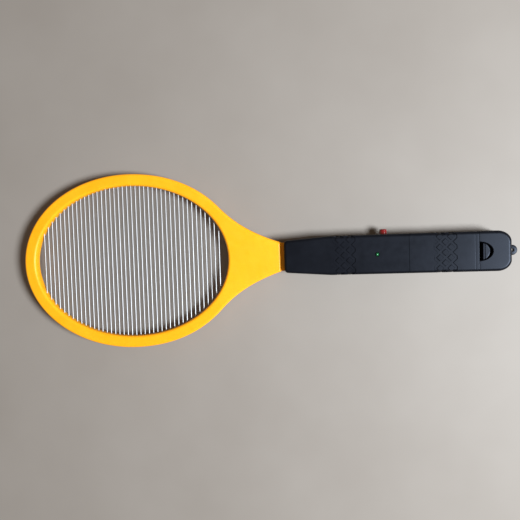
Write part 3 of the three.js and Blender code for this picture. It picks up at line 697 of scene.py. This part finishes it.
def relief(x, section, sideways):
    """Depth of the grip's diamond grooves, the seams and the parting line at one station."""
    around = np.arange(len(section)) * (GRIP_ROUNDS * GRIP_PERIOD / 2) / (len(section) - 1)
    deepest = np.interp(sideways, (0, 1), GROOVE_DEPTHS)
    depth = groove(section[:, 1] - MIDDLE, 0.6, 0.2)
    for centre in GRIP_CENTRES:
        along = x - centre
        if abs(along) > GRIP_PERIOD:
            continue
        for sign in (1, -1):
            line = (along + sign * around - GRIP_PERIOD / 2) % GRIP_PERIOD
            line = np.minimum(line, GRIP_PERIOD - line) / math.sqrt(2)
            depth = np.maximum(depth, groove(line, GROOVE_HALF, deepest, GROOVE_FLOOR))
    over_skirt = section[:, 1] > SKIRT_LOW - 0.3
    depth = np.maximum(depth, groove(x - BAY_REAR, 0.4, 0.08) * over_skirt)
    on_top = section[:, 1] > HANDLE_HIGH - 1
    return np.maximum(depth, groove(x - COVER_LINE, 0.4, 0.05) * on_top)


def handle_stations():
    """Places of the sections: close together at the ends, the grips and the seams."""
    turn = 1 - np.cos(np.linspace(0, math.pi / 2, 16))
    step = GRIP_PERIOD / 20
    grips = [centre + step * i for centre in GRIP_CENTRES for i in range(-22, 23)]
    seams = [seam + d for seam in (BAY_REAR, COVER_LINE) for d in (-0.4, -0.2, 0, 0.2, 0.4)]
    ends = np.r_[HANDLE_START + FRONT_CORNER[0] * turn, HANDLE_END - END_CORNER[0] * turn]
    plain = np.arange(HANDLE_START + FRONT_CORNER[0] + 2, HANDLE_END - END_CORNER[0], 3)
    close = np.array(grips + seams)
    plain = [x for x in plain if np.min(np.abs(close - x)) > 0.8]
    return sorted(np.r_[ends, close, plain])


def handle_form(name):
    """The whole handle's outside, with its grooves, as one solid."""
    rings = []
    for x in handle_stations():
        section = handle_section(x)
        along = np.gradient(section, axis=0)
        inwards = np.column_stack([along[:, 1], -along[:, 0]])
        inwards /= np.maximum(np.linalg.norm(inwards, axis=1), 1e-9)[:, None]
        section = section + inwards * relief(x, section, np.abs(inwards[:, 0]))[:, None]
        section[0, 0] = section[-1, 0] = 0
        mirrored = section[1:-1][::-1] * (-1, 1)
        full = np.vstack([section, mirrored])
        rings.append(np.column_stack([np.full(len(full), x), full]))
    return follow_grooves(loft(name, rings))


def follow_grooves(obj):
    """Splits each four-sided face along its shorter diagonal, so that edges run along grooves."""
    work = bmesh.new()
    work.from_mesh(obj.data)
    bmesh.ops.triangulate(work, faces=work.faces, quad_method="SHORT_EDGE")
    work.to_mesh(obj.data)
    work.free()
    return obj


def handle_hollow(name, inset):
    """The handle's form without its grooves, shrunk by inset."""
    rings = []
    turn = np.linspace(0, math.pi / 2, 9)
    start = HANDLE_START + inset + np.array([0, 0.5, 1.5])
    end = HANDLE_END - END_CORNER[0] + (END_CORNER[0] - inset) * np.sin(turn)
    for x in np.r_[start, HANDLE_KINK, end]:
        section = handle_section(x, inset, fillet=1.0, steps=40)
        full = np.vstack([section, section[1:-1][::-1] * (-1, 1)])
        rings.append(np.column_stack([np.full(len(full), x), full]))
    return loft(name, rings)


def cover_space(clearance, name="cover_space"):
    """Side outline of the battery cover, as a solid, grown by a clearance."""
    front, rear, low = BAY_FRONT - clearance, BAY_REAR + clearance, SKIRT_LOW - clearance
    outline = [(front, 24), (front, low), (rear - SWING_DRAFT, low), (rear, HANDLE_HIGH), (rear, 24)]
    rings = [[(x, y, z) for x, z in outline] for y in (-20, 20)]
    return loft(name, rings)


def latch_outline(start, half, grow=0.0, steps=40):
    turn = np.linspace(-math.pi / 2, math.pi / 2, steps)
    return np.column_stack([start + (half[0] + grow) * np.cos(turn), (half[1] + grow) * np.sin(turn)])


def recess_cutter():
    """D-shaped hole with a small chamfer at its mouth."""
    levels = [(RECESS_FLOOR, 0), (HANDLE_HIGH - 0.45, 0), (HANDLE_HIGH + 0.3, 0.75)]
    return loft("recess", [ring_at(latch_outline(BAY_REAR, RECESS, grow), z) for z, grow in levels])


def round_hole(x, y, radius, low, high, chamfer=0.4):
    """Upright hole with a chamfer at its upper mouth."""
    profile = [(low, 0), (low, radius), (high - chamfer, radius), (high + 0.5, radius + chamfer + 0.5),
               (high + 0.5, 0)]
    return lathe("hole", profile, (x, y, 0), "z", 40)


def stem_mouth():
    reach = (HANDLE_START - 1, HANDLE_START + MOUTH_DEEP)
    return block(*reach, -MOUTH_HALF, MOUTH_HALF, *MOUTH_HEIGHTS, "mouth")


def button_hole():
    wide, mouth = BUTTON_HOLE, HANDLE_HALVES[1] - 0.2
    profile = [(10, 0), (10, wide), (mouth, wide), (mouth + 2.8, wide + 2.5), (mouth + 2.8, 0)]
    return lathe("button_hole", profile, (BUTTON_X, 0, MIDDLE), "y", 40)


def inside_of(node):
    """What the CAD node holds inside the handle's walls: bosses, ribs and bulkheads."""
    return common(solid_of(node, "inside"), handle_hollow("core", HANDLE_WALL - HANDLE_LAP))


def add_rear_shell(form, hollow):
    """Back half of the handle, with screw recesses and the eyelet."""
    tray = cut(copy_of(form, "handle_back"), hollow, keep=True)
    tray = common(tray, block(*HANDLE_SPACE, -1, MIDDLE - GAP / 2))
    holes = [counterbore(x, y) for x, y, _ in screw_places("handle")]
    tray = cut(tray, stem_mouth(), button_hole(), *holes)
    tray = join(tray, inside_of("handle_rear_shell"), make_eyelet())
    return finish_mesh(tray, "swatter", "dark_plastic", ["handle_rear_shell"])


def add_front_shell(form, hollow):
    """Front half of the handle, open where the battery cover lies."""
    lid = cut(copy_of(form, "handle_front"), hollow, keep=True)
    lid = common(lid, block(*HANDLE_SPACE, MIDDLE + GAP / 2, HANDLE_HIGH + 2))
    led_hole = round_hole(LED_X, 0, LED_HOLE, HANDLE_HIGH - 5, HANDLE_HIGH, 0.3)
    lid = cut(lid, cover_space(GAP / 2), recess_cutter(), led_hole, stem_mouth(), button_hole())
    lid = join(lid, inside_of("handle_front_shell"))
    return finish_mesh(lid, "swatter", "dark_plastic", ["handle_front_shell"])


def add_cover(form, hollow):
    """Battery cover, cut from the same form so that the grip runs on across the seam."""
    cover = cut(copy_of(form, "cover"), hollow, keep=True)
    cover = common(cover, cover_space(-GAP / 2))
    cover = join(cover, inside_of("battery_cover"))
    return finish_mesh(cover, "battery_cover", "dark_plastic", ["battery_cover"])


def make_eyelet():
    """Rounded lug with a hole, for a lanyard."""
    low, high = EYELET_HEIGHTS
    root, base, soft, edge = HANDLE_END - 1.5, 3.8, 0.8, 0.25
    turn = np.linspace(-math.pi / 2, math.pi / 2, 33)
    lower = [(low, soft), (low + edge, edge), (low + soft, 0)]
    upper = [(high - soft, 0), (high - edge, edge), (high, soft)]
    rings = []
    for z, pull in lower + upper:
        radius = EYELET_RADIUS - pull
        tip = np.column_stack([EYELET_X + radius * np.cos(turn), radius * np.sin(turn)])
        outline = np.vstack([[(root, pull - base)], tip, [(root, base - pull)]])
        rings.append(ring_at(outline, z))
    mouth = EYELET_HOLE + 1
    profile = [(low - 1, 0), (low - 1, mouth), (low + 0.5, EYELET_HOLE), (high - 0.5, EYELET_HOLE),
               (high + 1, mouth), (high + 1, 0)]
    hole = lathe("eyelet_hole", profile, (EYELET_X, 0, 0), "z", 32)
    return cut(loft("eyelet", rings), hole)


def add_latch():
    """Spring leg and flat finger pad, creased beside its straight edge."""
    rings = []
    for drop, pull in ((PAD_THICK, 0), (0.4, 0), (0.12, 0.12), (0, 0.4)):
        ring = latch_outline(PAD_START, PAD, -pull)
        ring[:, 0] = np.maximum(ring[:, 0], PAD_START + pull)
        rings.append(ring_at(ring, PAD_HIGH - drop))
    top = loft("latch", rings)
    mouth = PAD_HIGH + 0.5
    outline = [(CREASE - 0.9, mouth), (CREASE, PAD_HIGH - CREASE_DEEP), (CREASE + 0.9, mouth)]
    crease = loft("crease", [[(x, y, z) for x, z in outline] for y in (-12, 12)])
    top = cut(top, crease)
    leg = common(solid_of("cover_latch", "leg"), block(405, 425, -10, 10, 5, PAD_HIGH - 0.9))
    return finish_mesh(join(top, leg), "cover_latch", "dark_plastic", ["cover_latch"])


# ------------------------------------------------------------------ screws
def screw_places(kind):
    """x, y and lowest z of the screws, in millimetres, from their CAD nodes."""
    places = []
    for node in sorted(n for n in frame["nodes"] if n.startswith(kind + "_screw")):
        low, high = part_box(node)
        middle = (low + high) / 2
        places.append(((middle.x - TIP) / MM, middle.y / MM, low.z / MM))
    return places


def counterbore(x, y):
    """Recess in the handle's back for a screw head, and the hole for its shank."""
    radius, deep = HANDLE_RECESS
    bore, end = HANDLE_BORE
    profile = [(-1, 0), (-1, radius + 1), (0.4, radius), (deep, radius), (deep, bore), (end, bore),
               (end, 0)]
    return lathe("counterbore", profile, (x, y, 0), "z", 40)


def add_screws(kind):
    """Pan-head screws with a cross recess, seen from the back."""
    radius, high, shank = (SCREWS[kind][key] for key in ("radius", "high", "shank"))
    end = high + SCREWS[kind]["length"]
    for i, (x, y, low) in enumerate(screw_places(kind)):
        profile = [(0, 0), (0, radius * 0.55), (0.12, radius * 0.8), (0.4, radius), (high, radius),
                   (high, shank), (end - 1, shank), (end, 0.2), (end, 0)]
        body = lathe(f"{kind}_fixing_{i + 1}", profile, (x, y, low), "z", 28)
        slots = [block(x - a, x + a, y - b, y + b, low - 1, low + 0.8)
                 for a, b in ((radius * 0.62, 0.28), (0.28, radius * 0.62))]
        finish_mesh(cut(body, *slots), "swatter", "zinc_screw", [f"{kind}_screw_{i + 1}"])


# ------------------------------------------------------------------ small pieces
def add_button():
    """Red cap with a flange inside the shell and a slightly hollow face."""
    low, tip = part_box("button_cap")[0].y / MM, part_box("button_cap")[1].y / MM
    wall, flange, soft = low + 2.2, BUTTON_RADIUS + 1, 0.9
    rim = [(tip - soft * (1 - math.cos(a)), BUTTON_RADIUS - 0.25 - soft * (1 - math.sin(a)))
           for a in np.linspace(math.pi / 2, 0, 7)]
    profile = [(low, 0), (low, 1.3), (low + 1, 1.3), (low + 1, flange), (wall, flange),
               (wall, BUTTON_RADIUS), *rim, (tip - 0.25, BUTTON_RADIUS - 1.6), (tip - 0.3, 0)]
    cap = lathe("red_button", profile, (BUTTON_X, 0, MIDDLE), "y", 48)
    finish_mesh(cap, "button", "red_plastic", ["button_cap"])


def add_button_spring():
    """Coil spring as long as its CAD node; the real spring gets shorter as the button goes in."""
    front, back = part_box("button_spring")[0].y / MM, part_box("button_spring")[1].y / MM
    length = back - front
    start = (BUTTON_X, front + SPRING_WIRE, MIDDLE)
    spring = coil("return_spring", start, "y", length - 2 * SPRING_WIRE,
                  SPRING_RADIUS, SPRING_TURNS, SPRING_WIRE)
    finish_mesh(spring, "swatter", "contact_nickel", ["button_spring"], sharp=60)
    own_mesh(spring)


def add_led():
    """Round-topped indicator with a flange and two legs."""
    low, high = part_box("status_led")[0].z / MM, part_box("status_led")[1].z / MM
    base, shoulder = LED_HEIGHTS
    dome = [(high - drop, LED_RADIUS - pull) for pull, drop in round_edge(LED_RADIUS, steps=8)]
    profile = [(base, 0), (base, LED_FLANGE), (shoulder, LED_FLANGE), (shoulder + 0.1, LED_RADIUS),
               *dome[:-1], (high, 0)]
    lens = lathe("indicator_lens", profile, (LED_X, 0, 0), "z", 40)
    half, top = 0.25, (base + shoulder) / 2
    legs = [block(x - half, x + half, -half, half, low, top) for x in (LED_X - 0.9, LED_X + 0.9)]
    finish_mesh(join(lens, *legs), "swatter", "green_lens", ["status_led"])


def add_cell(name, node, jacket, nub_towards_rear):
    """AA cell: steel can in a sleeve, with crimped ends and a nub."""
    low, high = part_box(node)
    start, end = (low.x - TIP) / MM, (high.x - TIP) / MM
    length = end - start
    can, nub = CELL_RADIUS, NUB_RADIUS
    base = [(0, 0), (0, can - 1.9), (0.25, can - 1.5), (0.25, can - 0.6), (0.5, can - 0.1), (1.4, can)]
    top = [(2.4, can), (1.5, can - 0.15), (1.2, can - 0.8), (1.45, can - 1.7), (1.4, nub + 0.2),
           (0.3, nub), (0, nub - 0.4), (0, 0)]
    profile = base + [(length - below, radius) for below, radius in top]
    if not nub_towards_rear:
        profile = [(length - along, radius) for along, radius in profile][::-1]
    middle = (low + high) / 2
    cell = lathe(name, profile, (start, middle.y / MM, MIDDLE), "x", 56)
    finish_mesh(cell, "swatter", "cell_jacket", [node])
    cell.data.materials[0] = MATERIALS[jacket]


def add_small_pieces():
    add_button()
    add_button_spring()
    add_led()
    add_cell("cell_front_nub", "battery_1", "cell_jacket", False)
    add_cell("cell_rear_nub", "battery_2", "cell_jacket_turned", True)
    add_screws("frame")
    add_screws("handle")


# ------------------------------------------------------------------ stage
def add_camera():
    """The photo's view: nearly straight down, slightly turned."""
    camera = bpy.data.objects.new("camera", bpy.data.cameras.new("camera"))
    camera.data.sensor_width = 36
    camera.data.lens = VIEW_LENS
    camera.data.clip_start = 0.01
    turn_x, turn_y, turn_z = (Matrix.Rotation(a, 4, axis) for a, axis in zip(VIEW_TURNS, "XYZ"))
    camera.matrix_world = Matrix.Translation(VIEW_PLACE) @ turn_z @ turn_y @ turn_x
    bpy.context.scene.collection.objects.link(camera)
    bpy.context.scene.camera = camera


def add_window():
    """One broad soft light from beyond the handle's end, like a window."""
    light = bpy.data.lights.new("window", "AREA")
    light.shape = "DISK"
    light.size = WINDOW_SIZE
    light.energy = WINDOW_POWER
    light.color = WINDOW_COLOUR
    obj = bpy.data.objects.new("window", light)
    obj.location = WINDOW_PLACE
    back = Vector(WINDOW_PLACE) - Vector(WINDOW_TARGET)
    obj.rotation_euler = back.to_track_quat("Z", "Y").to_euler()
    bpy.context.scene.collection.objects.link(obj)


def add_room():
    """Even, weak and warm light from all round."""
    world = bpy.data.worlds.new("room")
    world.use_nodes = True
    background = world.node_tree.nodes["Background"]
    background.inputs["Color"].default_value = (*ROOM_COLOUR, 1)
    background.inputs["Strength"].default_value = ROOM_STRENGTH
    bpy.context.scene.world = world


def add_floor():
    mesh = bpy.data.meshes.new("floor")
    signs = [(-1, -1), (1, -1), (1, 1), (-1, 1)]
    corners = [(a * FLOOR_SIZE, b * FLOOR_SIZE, FLOOR_LEVEL) for a, b in signs]
    mesh.from_pydata(corners, [], [(0, 1, 2, 3)])
    floor = bpy.data.objects.new("floor", mesh)
    bpy.context.scene.collection.objects.link(floor)
    material, tree, shader = principled("floor", Roughness=0.6)
    colour = ramp(tree, noise(tree, 9).outputs["Fac"], 0.3, 0.7, FLOOR_DARK, FLOOR_LIGHT)
    tree.links.new(colour.outputs["Color"], shader.inputs["Base Color"])
    floor.data.materials.append(material)


# ------------------------------------------------------------------ assembly
bpy.context.scene.view_settings.view_transform = "Standard"
MATERIALS = make_materials()
dress_cad_nodes()
add_camera()
add_window()
add_room()
add_floor()

add_frame_half("yellow_frame_front", "frame_front", MIDDLE + GAP / 2, 20)
add_frame_half("yellow_frame_back", "frame_rear", 0, MIDDLE - GAP / 2)
add_electrode("wires_first", "electrode_comb_1", 0, 1)
add_electrode("wires_second", "electrode_comb_2", 1, -1)

form = handle_form("form")
hollow = handle_hollow("hollow", HANDLE_WALL)
add_rear_shell(form, hollow)
add_front_shell(form, hollow)
add_cover(form, hollow)
bpy.data.objects.remove(form)
bpy.data.objects.remove(hollow)
add_latch()
add_small_pieces()
